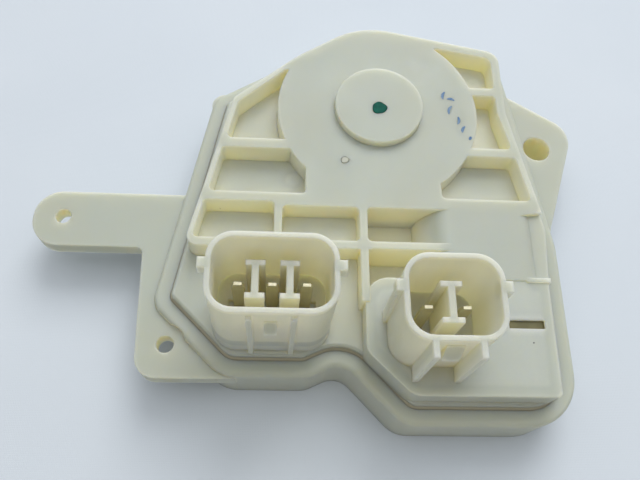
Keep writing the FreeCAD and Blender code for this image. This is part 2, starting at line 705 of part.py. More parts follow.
# Posts, cradle and stops inside the base
cradle_y = motor_front + boss_length + body_gap
cradle_half = 11.0
cradle_top = deep_floor - 2.1
floor_bite = floor_thick - 0.5
axle_boss_radius = 5.0
pad_inner, pad_outer = 8.0, 10.5
pad_thick = 1.3
stay_thick = 1.5
rear_stay_y = motor_rear - pad_thick
stays = [box(motor_x + x0, motor_x + x1, rear_stay_y - stay_thick, rear_stay_y, floor_bite, motor_z)
         for x0, x1 in ((-pad_outer, -pad_inner), (pad_inner, pad_outer))]
base = base.fuse(stays + [
    post(0, 0, axle_boss_radius, floor_bite, pinion_low - body_gap),
    box(motor_x - cradle_half, motor_x + cradle_half, motor_front + 0.1, cradle_y, floor_bite, cradle_top)])
boss_room = boss_radius + 0.1
base = base.cut([
    rod_y(boss_room, motor_front - 1, cradle_y + 1),
    box(motor_x - boss_room, motor_x + boss_room, motor_front, cradle_y + 1, motor_z, 20),
    box(motor_x - 9, motor_x + 9, motor_rear, motor_front + 0.1, motor_low, 10),
    post(0, 0, axle_radius, axle_low, 10)])
stop_radius = 2.0
stop_arm = 15.0
stop_angle = half_fan + lever_swing + math.degrees(math.asin((stop_radius + body_gap) / stop_arm))
for name, side in (("stop_bumper_upper", 1), ("stop_bumper_lower", -1)):
    spot = polar(output_x, output_y, stop_arm, mesh_direction + side * stop_angle)
    bumper = tube(spot.x, spot.y, stop_radius, 1.0, floor_thick, sector_high)
    save(name, bumper)
    base = base.fuse(post(spot.x, spot.y, 1.0, floor_thick - 0.5, sector_high - 0.6))
save("base_case", base)

for name, side in (("motor_pad_left", -1), ("motor_pad_right", 1)):
    x_in, x_out = sorted((motor_x + side * pad_inner, motor_x + side * pad_outer))
    save(name, box(x_in, x_out, rear_stay_y, motor_rear, motor_z - 4, motor_z))

# Cover: rim and plate
rim_offset = -(band_width + rebate_gap)
plate_under = plate_top - plate_thick
cover = slab(case_corners, ledge_top, plate_top - plate_bevel, rim_offset)
bevel_foot = outline(case_corners, plate_top - plate_bevel).makeOffset2D(rim_offset)
bevel_head = outline(case_corners, plate_top).makeOffset2D(rim_offset - plate_bevel)
cover = cover.fuse(Part.makeLoft([bevel_foot, bevel_head], True, True))
cover = cover.cut(slab(case_corners, ledge_top - 1, plate_under, -ledge_width))

# Plateau with its dome, ribs and pockets
dome_radius = 23.0
dip_left, dip_right = -4.7, 9.0
dip_low, dip_high = -43.0, -24.6
dip_under = deep_floor - 1.8
shell_radius = motor_radius + 0.3 + skin
bump_front = -24.2
bump_rear = -64.0
block_back = block_corners[0][1]
bump_round = 4.0
side_rib_left, side_rib_right, side_rib_low, side_rib_high = -4.95, -3.3, -46.5, -34.9
plateau = slab(plateau_corners, plate_under, plateau_top)
dip = box(dip_left, dip_right, dip_low, dip_high, dip_under, plate_top)
side_rib = box(side_rib_left, side_rib_right, side_rib_low, side_rib_high, plate_under, plateau_top)
bump = rod_y(shell_radius, bump_rear, bump_front)
bump = bump.common(box(0, 2 * motor_x, bump_rear, bump_front, 0, plateau_top))
shoulders = [e for e in bump.Edges if e.BoundBox.ZMin > plateau_top - 0.01 and e.BoundBox.YLength > 1]
bump = bump.makeFillet(bump_round, shoulders).common(fused([
    box(0, motor_x, dip_low, bump_front, dip_under, plateau_top),
    box(0, 2 * motor_x, block_back, bump_front, plate_under, plateau_top),
    box(0, 2 * motor_x, bump_rear, block_back, plate_under, block_top)]))
block = slab(block_corners, plate_under, block_top)
cover = cover.fuse([plateau, dip, side_rib, bump, block])

left_pockets = [
    [(-34.2, -9.0, 1), (-32.0, 0.6, 1.5), (-20.0, 11.6, 1), (-20.0, -9.0, 1)],
    [(-37.3, -22.4, 1), (-34.9, -11.3, 1), (-16.5, -11.3, 1), (-16.5, -22.4, 1)],
    [(-40.0, -33.3, 1), (-38.0, -24.5, 1), (-23.1, -24.5, 1), (-23.1, -33.3, 1)],
    [(-21.4, -33.3, 1), (-21.4, -25.3, 1), (-5.0, -25.3, 1), (-5.0, -33.3, 1)]]
right_pockets = [
    [(14.0, 7.2, 1), (14.0, 18.7, 1), (28.0, 16.2, 2), (28.0, 7.2, 1)],
    [(17.0, -9.5, 1), (17.0, 5.1, 1), (28.0, 5.1, 1), (28.0, 0.5, 3), (30.3, -9.5, 1)],
    [(13.2, -22.6, 1), (13.2, -11.6, 1), (30.8, -11.6, 1), (33.2, -22.6, 1)]]
bump_valley = [(28.0, -26.5, 0), (37.0, -25.0, 0), (37.0, -40.6, 0), (28.0, -40.6, 0)]
valley_floor = plateau_top - 1.2
vent_floor = plateau_top - 1.5
deep_pockets = [
    [(-3.3, -33.3, 1), (-3.3, -25.3, 1), (16.5, -25.3, 1), (16.5, -33.3, 1)],
    [(-3.3, -44.5, 1), (-3.3, -34.9, 1), (16.5, -34.9, 1), (16.5, -44.5, 1)]]
keep_dome = post(0, 0, dome_radius, plate_under, plateau_top)
foot_left, foot_right, foot_low = -16.5, 13.2, -25.3
keep_foot = box(foot_left, foot_right, foot_low, 0, plate_under, plateau_top)
keep_bump = bump.fuse(box(motor_x, 34.2, -41.3, bump_front, plate_under, valley_floor))
cuts = [slab(p, plate_top, 30).cut(keep_dome.fuse(keep_foot)) for p in left_pockets]
cuts += [slab(p, right_pocket_floor, 30).cut(keep_dome) for p in right_pockets]
cuts += [slab(p, deep_floor, 30).cut(keep_bump.fuse(block)) for p in deep_pockets]
cuts.append(slab(bump_valley, valley_floor, 30).cut(bump))
cover = cover.cut(cuts)

# Hollow underneath: wheel space, motor space, block space
dome_under = plateau_top - plate_thick
wheel_room = post(0, 0, dome_radius - 1.7, 0, dome_under)
wheel_room = wheel_room.common(box(-30, 30, -21.0, 30, 0, dome_under))
motor_room = rod_y(motor_radius + 0.3, motor_rear - 6.5, motor_front + 0.2)
motor_room = motor_room.common(box(0, 50, -70, 0, -20, motor_high + 0.1))
block_room = slab(block_corners, 0, block_top - 1.2, -1.6).cut(box(-10, 20, -43.2, -30, 0, 30))
worm_room = rod_y(crest_radius + body_gap, -26, worm_length / 2 + 1.6)
worm_room = worm_room.fuse(box(motor_x - 4, motor_x + 4, -26, worm_length / 2 + 1.6, 0, motor_z))
cover = cover.cut([wheel_room, block_room, worm_room])
cover = cover.fuse([tube(0, 0, 4.6, axle_radius, wheel_hub_high + body_gap, dome_under + 0.2),
                    post(0, 0, 10.0, plateau_top - 0.2, disc_top)])
vent_x, vent_low, vent_high, vent_radius = 14.15, -21.7, -19.7, 0.9
slot_left, slot_right, slot_low, slot_high, slot_depth = 24.8, 32.3, -51.5, -49.7, 0.7
vent = fused([post(vent_x, vent_low, vent_radius, vent_floor, 30),
              post(vent_x, vent_high, vent_radius, vent_floor, 30),
              box(vent_x - vent_radius, vent_x + vent_radius, vent_low, vent_high, vent_floor, 30)])
cover = cover.cut([post(0, 0, axle_radius, 0, axle_high),
                   post(output_x, output_y, output_pin_radius + running_gap, 0, plate_top - 1.0),
                   vent, box(slot_left, slot_right, slot_low, slot_high, block_top - slot_depth, 30)])


# Sockets on the cover
def socket_slab(spec, shrink, z0, z1):
    half_x, half_y = spec["half_x"] - shrink, spec["half_y"] - shrink
    return rounded_box(spec["x"], spec["y"], half_x, half_y, socket_corner - shrink, z0, z1)


def divider(spec, x):
    """Upright web of I section between two pins."""
    y0, y1 = spec["y"] + spec["divider_front"], spec["y"] + spec["divider_back"]
    half, top = spec["divider_width"] / 2, mouth_top - spec["divider_drop"]
    return fused([box(x - half, x + half, y1 - divider_flange, y1, socket_floor - 0.5, top),
                  box(x - divider_stem / 2, x + divider_stem / 2, y0, y1, socket_floor - 0.5, top),
                  box(x - half, x + half, y0, y0 + divider_flange, socket_floor - 0.5, top)])


def side_tab(spec, side):
    inner = spec["x"] + side * (spec["half_x"] - 0.5)
    outer = spec["x"] + side * (spec["half_x"] + spec["tab_reach"])
    return box(min(inner, outer), max(inner, outer), spec["y"] + spec["tab_front"],
               spec["y"] + spec["tab_back"], mouth_top - tab_depth, mouth_top)


def front_fin(spec, side):
    middle = spec["x"] + side * spec["fin_pitch"] / 2
    face = spec["y"] - spec["half_y"]
    return box(middle - spec["fin_width"] / 2, middle + spec["fin_width"] / 2, face - spec["fin_reach"],
               face + 0.5, spec["fin_foot"] - 0.5, mouth_top - spec["fin_drop"])


def lock_ramp(spec):
    """Wedge on the front face that the plug's latch snaps over."""
    face = spec["y"] - spec["half_y"]
    x = spec["x"] + spec["ramp_left"]
    high = mouth_top - spec["ramp_drop"]
    low = high - spec["ramp_length"]
    points = [V(x, face + 0.5, low), V(x, face - spec["ramp_reach"], low), V(x, face - 0.3, high),
              V(x, face + 0.5, high)]
    side = Part.Face(Part.makePolygon(points + [points[0]]))
    return side.extrude(V(spec["ramp_right"] - spec["ramp_left"], 0, 0))


def pin_well(x, y):
    half_x, half_y = pin_width / 2 + pin_well_side, pin_thick / 2 + pin_well_back
    return box(x - half_x, x + half_x, y - half_y, y + half_y,
               socket_floor - pin_well_depth, socket_floor + 1)


underside = socket_floor - socket_floor_thick
cover = cover.fuse([socket_slab(spec, 0, plate_under, mouth_top) for spec in (socket3, socket2)])
cover = cover.cut([socket_slab(spec, socket_wall, socket_floor, mouth_top + 1)
                   for spec in (socket3, socket2)])
cover = cover.cut([socket_slab(socket3, socket_wall, ledge_top - 1, underside),
                   socket_slab(socket2, socket_wall, ledge_top, underside), motor_room])
details = [divider(socket3, socket3["x"] + side * pin_pitch3 / 2) for side in (-1, 1)]
details.append(divider(socket2, socket2["x"]))
for spec in (socket3, socket2):
    details.append(lock_ramp(spec))
    details += [side_tab(spec, side) for side in (-1, 1)]
    details += [front_fin(spec, side) for side in (-1, 1)]
rib_left = socket2["x"] - socket2["half_x"] - tab_rib_reach
details.append(box(rib_left, rib_left + tab_rib_reach + 0.5, socket2["y"] + socket2["tab_front"],
                   socket2["y"] + socket2["tab_back"], block_top - 0.5, mouth_top - tab_depth + 0.5))
cover = cover.fuse(details)
wells = [pin_well(x, pin_y3) for x in pin_x3]
cover = cover.cut(wells + [contacts[name] for name in contacts] + [feed_left, feed_right])
save("top_cover", cover)
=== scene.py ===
import bpy
import json
import math
import numpy as np
from mathutils import Matrix, Vector


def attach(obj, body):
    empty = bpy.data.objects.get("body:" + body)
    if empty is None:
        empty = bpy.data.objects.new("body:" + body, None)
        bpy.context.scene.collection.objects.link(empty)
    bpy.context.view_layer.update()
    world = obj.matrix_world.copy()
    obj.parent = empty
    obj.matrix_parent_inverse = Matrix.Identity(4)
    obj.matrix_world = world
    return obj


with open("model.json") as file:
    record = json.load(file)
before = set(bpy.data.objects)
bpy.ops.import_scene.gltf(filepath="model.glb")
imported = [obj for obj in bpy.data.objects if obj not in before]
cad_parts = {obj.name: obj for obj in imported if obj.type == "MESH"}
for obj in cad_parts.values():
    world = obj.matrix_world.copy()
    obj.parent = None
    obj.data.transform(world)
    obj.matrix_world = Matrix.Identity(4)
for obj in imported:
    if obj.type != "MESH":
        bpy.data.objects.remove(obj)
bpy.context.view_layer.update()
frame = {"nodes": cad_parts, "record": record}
mm = 0.001  # pieces are written in millimetres, lamps and the floor's half width in metres


# Camera: the photograph's place and angle, aimed at a point level with the cover's ribs
cameraView = {
    "focalPixels": 670.33,
    "imageWidth": 640,
    "sensorWidth": 36.0,
    "clipStart": 0.005,
    "aim": (-13.43, -33.35, 21.3),
    "distance": 139.42,
    "pitch": 65.43,
    "yaw": -9.18,
    "roll": 9.99,
}


def makeCamera(view):
    tilt = math.radians(90 - view["pitch"])
    right = Vector((1, 0, 0))
    up = Vector((0, math.cos(tilt), math.sin(tilt)))
    back = Vector((0, -math.sin(tilt), math.cos(tilt)))
    turn = Matrix.Rotation(math.radians(view["yaw"]), 3, "Z")
    right, up, back = turn @ right, turn @ up, turn @ back
    c, s = math.cos(math.radians(view["roll"])), math.sin(math.radians(view["roll"]))
    right, up = c * right + s * up, c * up - s * right
    data = bpy.data.cameras.new("photoCamera")
    data.sensor_width = view["sensorWidth"]
    data.lens = view["focalPixels"] / view["imageWidth"] * view["sensorWidth"]
    data.clip_start = view["clipStart"]
    camera = bpy.data.objects.new("photoCamera", data)
    place = (Vector(view["aim"]) + back * view["distance"]) * mm
    camera.matrix_world = Matrix((
        (right.x, up.x, back.x, place.x), (right.y, up.y, back.y, place.y),
        (right.z, up.z, back.z, place.z), (0, 0, 0, 1)))
    bpy.context.scene.collection.objects.link(camera)
    bpy.context.scene.camera = camera


makeCamera(cameraView)
print("stage: camera")


# Node helpers: a socket is given as another node's output, which is linked, or as a plain value
def fillSockets(tree, node, sockets):
    for key, value in sockets.items():
        if isinstance(value, bpy.types.NodeSocket):
            tree.links.new(value, node.inputs[key])
        else:
            node.inputs[key].default_value = value


def addNode(tree, kind, settings=None, sockets=None):
    node = tree.nodes.new("ShaderNode" + kind)
    for key, value in (settings or {}).items():
        setattr(node, key, value)
    fillSockets(tree, node, sockets or {})
    return node


def newGroup(name, inputs, outputs):
    group = bpy.data.node_groups.new(name, "ShaderNodeTree")
    for label, kind, value in inputs:
        socket = group.interface.new_socket(name=label, in_out="INPUT", socket_type="NodeSocket" + kind)
        if value is not None:
            socket.default_value = value
    for label, kind in outputs:
        group.interface.new_socket(name=label, in_out="OUTPUT", socket_type="NodeSocket" + kind)
    return group, group.nodes.new("NodeGroupInput"), group.nodes.new("NodeGroupOutput")


def useGroup(tree, group, sockets):
    node = tree.nodes.new("ShaderNodeGroup")
    node.node_tree = group
    fillSockets(tree, node, sockets)
    return node


def rgb(r, g, b):
    return (r, g, b, 1.0)


# The mix of two tones: a Mix node's colours go in at 6 and 7 and come out at 2
def mixTones(tree, share, first, second):
    mixed = addNode(tree, "Mix", {"data_type": "RGBA"}, {"Factor": share, 6: first, 7: second})
    return mixed.outputs[2]


# What the shared groups take from their noise, and how rare a speck is
noiseLimits = {"toneLow": 0.35, "toneHigh": 0.65, "low": 0.3, "high": 0.7, "speckAbove": 0.93}


# Slow drift between two tones over the surface
def makeToneDrift():
    group, given, made = newGroup(
        "toneDrift",
        [("Place", "Vector", None), ("Tone", "Color", rgb(0.7, 0.7, 0.6)),
         ("Other", "Color", rgb(0.6, 0.6, 0.5)), ("Scale", "Float", 60.0), ("Amount", "Float", 0.5)],
        [("Color", "Color")])
    cloud = addNode(group, "TexNoise", None, {
        "Vector": given.outputs["Place"], "Scale": given.outputs["Scale"], "Detail": 3.0, "Roughness": 0.55})
    share = addNode(group, "MapRange", None, {
        "Value": cloud.outputs["Fac"], "From Min": noiseLimits["toneLow"],
        "From Max": noiseLimits["toneHigh"], "To Min": 0.0, "To Max": given.outputs["Amount"]})
    mixed = mixTones(group, share.outputs["Result"], given.outputs["Tone"], given.outputs["Other"])
    group.links.new(mixed, made.inputs["Color"])
    return group


# Sparse dark specks, as in moulded plastic
def makeSpeckMask():
    group, given, made = newGroup(
        "speckMask", [("Place", "Vector", None), ("Scale", "Float", 300.0), ("Size", "Float", 0.1)],
        [("Mask", "Float")])
    cells = addNode(group, "TexVoronoi", None, {
        "Vector": given.outputs["Place"], "Scale": given.outputs["Scale"], "Randomness": 1.0})
    near = addNode(group, "Math", {"operation": "LESS_THAN"}, {
        0: cells.outputs["Distance"], 1: given.outputs["Size"]})
    pick = addNode(group, "SeparateColor", None, {"Color": cells.outputs["Color"]})
    rare = addNode(group, "Math", {"operation": "GREATER_THAN"}, {
        0: pick.outputs["Red"], 1: noiseLimits["speckAbove"]})
    both = addNode(group, "Math", {"operation": "MULTIPLY"}, {0: near.outputs[0], 1: rare.outputs[0]})
    group.links.new(both.outputs[0], made.inputs["Mask"])
    return group


# Fine surface height: a grain with a slower wave under it
def makeGrainHeight():
    group, given, made = newGroup(
        "grainHeight", [("Place", "Vector", None), ("Fine", "Float", 2500.0), ("Slow", "Float", 120.0),
                        ("Slow Share", "Float", 0.5)],
        [("Height", "Float")])
    fine = addNode(group, "TexNoise", None, {
        "Vector": given.outputs["Place"], "Scale": given.outputs["Fine"], "Detail": 2.0})
    slow = addNode(group, "TexNoise", None, {
        "Vector": given.outputs["Place"], "Scale": given.outputs["Slow"], "Detail": 1.0})
    summed = addNode(group, "Math", {"operation": "MULTIPLY_ADD"}, {
        0: slow.outputs["Fac"], 1: given.outputs["Slow Share"], 2: fine.outputs["Fac"]})
    group.links.new(summed.outputs[0], made.inputs["Height"])
    return group


# Roughness that wanders between two values
def makeSheenDrift():
    group, given, made = newGroup(
        "sheenDrift", [("Place", "Vector", None), ("Scale", "Float", 90.0), ("Low", "Float", 0.3),
                       ("High", "Float", 0.5)],
        [("Roughness", "Float")])
    cloud = addNode(group, "TexNoise", None, {
        "Vector": given.outputs["Place"], "Scale": given.outputs["Scale"], "Detail": 4.0})
    ranged = addNode(group, "MapRange", None, {
        "Value": cloud.outputs["Fac"], "From Min": noiseLimits["low"], "From Max": noiseLimits["high"],
        "To Min": given.outputs["Low"], "To Max": given.outputs["High"]})
    group.links.new(ranged.outputs["Result"], made.inputs["Roughness"])
    return group


# Drawing marks: streaks along one axis of stretched coordinates
def makeStreakMask():
    group, given, made = newGroup(
        "streakMask", [("Place", "Vector", None), ("Stretch", "Vector", (4000.0, 200.0, 4000.0)),
                       ("Contrast", "Float", 1.0)],
        [("Mask", "Float")])
    stretched = addNode(group, "VectorMath", {"operation": "MULTIPLY"}, {
        0: given.outputs["Place"], 1: given.outputs["Stretch"]})
    lines = addNode(group, "TexNoise", None, {"Vector": stretched.outputs[0], "Scale": 1.0, "Detail": 3.0})
    ranged = addNode(group, "MapRange", None, {
        "Value": lines.outputs["Fac"], "From Min": noiseLimits["low"], "From Max": noiseLimits["high"],
        "To Min": 0.0, "To Max": given.outputs["Contrast"]})
    group.links.new(ranged.outputs["Result"], made.inputs["Mask"])
    return group


toneDrift = makeToneDrift()
speckMask = makeSpeckMask()
grainHeight = makeGrainHeight()
sheenDrift = makeSheenDrift()
streakMask = makeStreakMask()


def newMaterial(name):
    material = bpy.data.materials.new(name)
    material.use_nodes = True
    tree = material.node_tree
    shader = tree.nodes["Principled BSDF"]
    place = addNode(tree, "TexCoord").outputs["Object"]
    return material, tree, shader, place


# Painted light and shade for a plastic that lets light through: thin ribs and rims are painted lighter,
# and hollows get painted light on their walls and floors, warming to painted shade towards the bottom.
# Two masks count how open the space is within a reach: inside the wall for thin ribs and rims, outside
# it for hollows.
def paintLightAndShade(tree, body, look):
    counting = {"only_local": True, "samples": look["maskSamples"]}
    inward = addNode(tree, "AmbientOcclusion", {**counting, "inside": True}, {
        "Distance": look["thinReach"] * mm})
    thin = addNode(tree, "MapRange", None, {
        "Value": inward.outputs["AO"], "From Min": look["thinHigh"], "From Max": look["thinLow"]})
    # painted light: thin ribs and rims turn lighter, as if lit through the wall
    body = mixTones(tree, thin.outputs["Result"], body, look["thinPaintedLight"])
    outward = addNode(tree, "AmbientOcclusion", counting, {"Distance": look["hollowReach"] * mm})
    # upright faces count as hollow earlier than level ones: from wallHigh down instead of floorHigh
    facing = addNode(tree, "SeparateXYZ", None, {"Vector": addNode(tree, "TexCoord").outputs["Normal"]})
    level = addNode(tree, "Math", {"operation": "ABSOLUTE"}, {0: facing.outputs["Z"]})
    upright = addNode(tree, "MapRange", None, {
        "Value": level.outputs[0], "From Min": look["levelHigh"], "From Max": look["levelLow"]})
    edge = addNode(tree, "Math", {"operation": "MULTIPLY_ADD"}, {
        0: upright.outputs["Result"], 1: look["wallHigh"] - look["floorHigh"], 2: look["floorHigh"]})
    hollow = addNode(tree, "MapRange", None, {
        "Value": outward.outputs["AO"], "From Min": edge.outputs[0], "From Max": look["hollowLow"]})
    # painted warm shade: walls and floors of hollows turn warmer towards the bottom
    deep = addNode(tree, "MapRange", None, {
        "Value": outward.outputs["AO"], "From Min": look["deepHigh"], "From Max": look["deepLow"]})
    wall = mixTones(tree, deep.outputs["Result"], look["wallPaintedLight"], look["footPaintedWarmShade"])
    floor = mixTones(tree, deep.outputs["Result"], look["floorPaintedLight"], look["wellPaintedWarmShade"])
    hollowLightAndShade = mixTones(tree, upright.outputs["Result"], floor, wall)
    # painted light and shade of the hollows, laid over the plastic's tone
    return mixTones(tree, hollow.outputs["Result"], body, hollowLightAndShade)


# Plastic: drifting tone, specks, fine grain and rounded edges; painted light and shade where the look
# has them
def plasticMaterial(name, look):
    material, tree, shader, place = newMaterial(name)
    tone = useGroup(tree, toneDrift, {
        "Place": place, "Tone": look["tone"], "Other": look["other"], "Scale": look["driftScale"],
        "Amount": look["driftAmount"]})
    body = tone.outputs["Color"]
    if "thinPaintedLight" in look:
        body = paintLightAndShade(tree, body, look)
    specks = useGroup(tree, speckMask, {
        "Place": place, "Scale": look["speckScale"], "Size": look["speckSize"]})
    speckled = mixTones(tree, specks.outputs["Mask"], body, look["speckTone"])
    tree.links.new(speckled, shader.inputs["Base Color"])
    sheen = useGroup(tree, sheenDrift, {
        "Place": place, "Scale": look["sheenScale"], "Low": look["roughLow"], "High": look["roughHigh"]})
    tree.links.new(sheen.outputs["Roughness"], shader.inputs["Roughness"])
    grain = useGroup(tree, grainHeight, {
        "Place": place, "Fine": look["grainScale"], "Slow": look["waveScale"],
        "Slow Share": look["waveShare"]})
    rounded = addNode(tree, "Bevel", {"samples": look["edgeSamples"]}, {"Radius": look["edgeRadius"] * mm})
    bump = addNode(tree, "Bump", None, {
        "Strength": look["bumpStrength"], "Distance": look["bumpDepth"] * mm,
        "Height": grain.outputs["Height"], "Normal": rounded.outputs["Normal"]})
    tree.links.new(bump.outputs["Normal"], shader.inputs["Normal"])
    shader.inputs["IOR"].default_value = look["ior"]
    shader.inputs["Subsurface Weight"].default_value = look["glow"]
    shader.inputs["Subsurface Radius"].default_value = look["glowRadius"]
    shader.inputs["Subsurface Scale"].default_value = look["glowScale"] * mm
    return material


# Metal: drawing or rolling marks in the roughness and the height
def metalMaterial(name, look):
    material, tree, shader, place = newMaterial(name)
    tone = useGroup(tree, toneDrift, {
        "Place": place, "Tone": look["tone"], "Other": look["other"], "Scale": look["driftScale"],
        "Amount": look["driftAmount"]})
    tree.links.new(tone.outputs["Color"], shader.inputs["Base Color"])
    streaks = useGroup(tree, streakMask, {"Place": place, "Stretch": look["stretch"], "Contrast": 1.0})
    rough = addNode(tree, "MapRange", None, {
        "Value": streaks.outputs["Mask"], "To Min": look["roughLow"], "To Max": look["roughHigh"]})
    tree.links.new(rough.outputs["Result"], shader.inputs["Roughness"])
    rounded = addNode(tree, "Bevel", {"samples": look["edgeSamples"]}, {"Radius": look["edgeRadius"] * mm})
    bump = addNode(tree, "Bump", None, {
        "Strength": look["bumpStrength"], "Distance": look["bumpDepth"] * mm,
        "Height": streaks.outputs["Mask"], "Normal": rounded.outputs["Normal"]})
    tree.links.new(bump.outputs["Normal"], shader.inputs["Normal"])
    shader.inputs["Metallic"].default_value = 1.0
    return material


ivoryLook = {
    "tone": rgb(0.52, 0.558, 0.492), "other": rgb(0.535, 0.55, 0.46), "driftScale": 55.0, "driftAmount": 0.6,
    # painted light on thin ribs and rims, found by an inside occlusion mask
    "thinPaintedLight": rgb(0.86, 0.87, 0.68), "thinReach": 1.6, "thinLow": 0.25, "thinHigh": 0.62,
    # hollow masks, and the painted light and warm shade of walls and floors in hollows
    "hollowReach": 12.0, "hollowLow": 0.1, "wallHigh": 1.0, "floorHigh": 0.66,
    "wallPaintedLight": rgb(0.98, 0.96, 0.81), "footPaintedWarmShade": rgb(0.98, 0.89, 0.6),
    "floorPaintedLight": rgb(0.77, 0.76, 0.65), "wellPaintedWarmShade": rgb(0.99, 0.92, 0.62),
    "levelLow": 0.25, "levelHigh": 0.75, "deepLow": 0.15, "deepHigh": 0.5, "maskSamples": 8,
    "speckScale": 260.0, "speckSize": 0.035, "speckTone": rgb(0.16, 0.15, 0.11),
    "sheenScale": 120.0, "roughLow": 0.42, "roughHigh": 0.56,
    "grainScale": 2600.0, "waveScale": 260.0, "waveShare": 1.6, "bumpStrength": 0.25, "bumpDepth": 0.03,
    "edgeRadius": 0.5, "edgeSamples": 8, "ior": 1.42,
    "glow": 1.0, "glowRadius": (1.0, 0.88, 0.6), "glowScale": 5.0,
}
plainPlastic = {
    "driftScale": 90.0, "driftAmount": 0.5, "speckScale": 400.0, "speckSize": 0.04,
    "sheenScale": 150.0, "roughLow": 0.32, "roughHigh": 0.5, "grainScale": 3000.0, "waveScale": 300.0,
    "waveShare": 1.0, "bumpStrength": 0.2, "bumpDepth": 0.02, "edgeRadius": 0.2, "edgeSamples": 4,
    "ior": 1.5, "glow": 0.2, "glowRadius": (1.0, 0.9, 0.7), "glowScale": 1.0,
}
whiteLook = {**plainPlastic, "tone": rgb(0.78, 0.78, 0.74), "other": rgb(0.7, 0.7, 0.66),
             "speckTone": rgb(0.3, 0.3, 0.28)}
gearLook = {**plainPlastic, "tone": rgb(0.74, 0.73, 0.66), "other": rgb(0.66, 0.65, 0.58),
            "speckTone": rgb(0.3, 0.28, 0.24)}
rubberLook = {**plainPlastic, "tone": rgb(0.018, 0.018, 0.019), "other": rgb(0.035, 0.034, 0.033),
              "speckTone": rgb(0.09, 0.09, 0.085), "roughLow": 0.55, "roughHigh": 0.8, "glow": 0.0,
              "bumpStrength": 0.4}
ferriteLook = {**plainPlastic, "tone": rgb(0.045, 0.045, 0.05), "other": rgb(0.08, 0.075, 0.075),
               "speckTone": rgb(0.16, 0.15, 0.14), "roughLow": 0.45, "roughHigh": 0.7, "glow": 0.0,
               "bumpStrength": 0.5, "bumpDepth": 0.04}
plainMetal = {
    "driftScale": 200.0, "driftAmount": 0.7, "roughLow": 0.22, "roughHigh": 0.42, "edgeRadius": 0.15,
    "edgeSamples": 4, "bumpStrength": 0.15, "bumpDepth": 0.01, "stretch": (3000.0, 150.0, 3000.0),
}
metalLooks = {
    "plated_steel": {**plainMetal, "tone": rgb(0.62, 0.62, 0.6), "other": rgb(0.5, 0.5, 0.48)},
    "bright_steel": {**plainMetal, "tone": rgb(0.68, 0.68, 0.68), "other": rgb(0.58, 0.58, 0.59),
                     "roughLow": 0.12, "roughHigh": 0.26},
    "lamination_steel": {**plainMetal, "tone": rgb(0.36, 0.36, 0.38), "other": rgb(0.24, 0.24, 0.26),
                         "stretch": (150.0, 4000.0, 150.0), "bumpStrength": 0.5, "bumpDepth": 0.05},
    "zinc_steel": {**plainMetal, "tone": rgb(0.58, 0.57, 0.5), "other": rgb(0.5, 0.46, 0.36),
                   "roughLow": 0.3, "roughHigh": 0.5},
    "copper_alloy": {**plainMetal, "tone": rgb(0.78, 0.46, 0.3), "other": rgb(0.6, 0.34, 0.2)},
    "coil_copper": {**plainMetal, "tone": rgb(0.62, 0.24, 0.1), "other": rgb(0.42, 0.13, 0.05),
                    "stretch": (5000.0, 300.0, 5000.0), "bumpStrength": 0.9, "bumpDepth": 0.08},
    "tinned_brass": {**plainMetal, "tone": rgb(0.66, 0.63, 0.48), "other": rgb(0.56, 0.52, 0.38),
                     "stretch": (2500.0, 2500.0, 120.0), "roughLow": 0.5, "roughHigh": 0.66},
}
slotMaterials = {
    "ivory_plastic": plasticMaterial("ivoryPlastic", ivoryLook),
    "white_plastic": plasticMaterial("whitePlastic", whiteLook),
    "gear_plastic": plasticMaterial("gearPlastic", gearLook),
    "black_rubber": plasticMaterial("blackRubber", rubberLook),
    "dark_ferrite": plasticMaterial("darkFerrite", ferriteLook),
}
for slotName, look in metalLooks.items():
    slotMaterials[slotName] = metalMaterial(slotName.replace("_", " ").title().replace(" ", ""), look)
print("stage: materials")


# Each CAD node takes the material of its slot in the record
def dressNodes():
    for row in frame["record"]["subparts"]:
        mesh = frame["nodes"][row["node"]].data
        mesh.materials.clear()
        mesh.materials.append(slotMaterials[row["material_slot"]])


dressNodes()
print("stage: nodes dressed")


# A mesh from a grid of points, closed round in u or v where asked, a closed shell turned outwards
def gridMesh(name, points, closeV=False, closeU=False, shell=False):
    rows, cols = points.shape[:2]
    index = np.arange(rows * cols).reshape(rows, cols)
    if closeV:
        index = np.concatenate([index, index[:, :1]], axis=1)
    if closeU:
        index = np.concatenate([index, index[:1]], axis=0)
    quads = np.stack([index[:-1, :-1], index[1:, :-1], index[1:, 1:], index[:-1, 1:]], axis=-1).reshape(-1, 4)
    flat = points.reshape(-1, 3)
    if shell:
        a, b, c, d = (flat[quads[:, i]] - flat.mean(axis=0) for i in range(4))
        volume = np.sum(np.cross(a, b) * c) + np.sum(np.cross(a, c) * d)
        quads = quads[:, ::-1] if volume < 0 else quads
    mesh = bpy.data.meshes.new(name)
    mesh.from_pydata(flat.tolist(), [], quads.tolist())
    mesh.polygons.foreach_set("use_smooth", np.ones(len(quads), bool))
    mesh.update()
    piece = bpy.data.objects.new(name, mesh)
    bpy.context.scene.collection.objects.link(piece)
    return piece


# Closes the poles and seams of a shell, where points lie on each other; reach in metres
weldReach = 1e-7


def weld(piece):
    merge = piece.modifiers.new("weld", "WELD")
    merge.merge_threshold = weldReach
    return piece


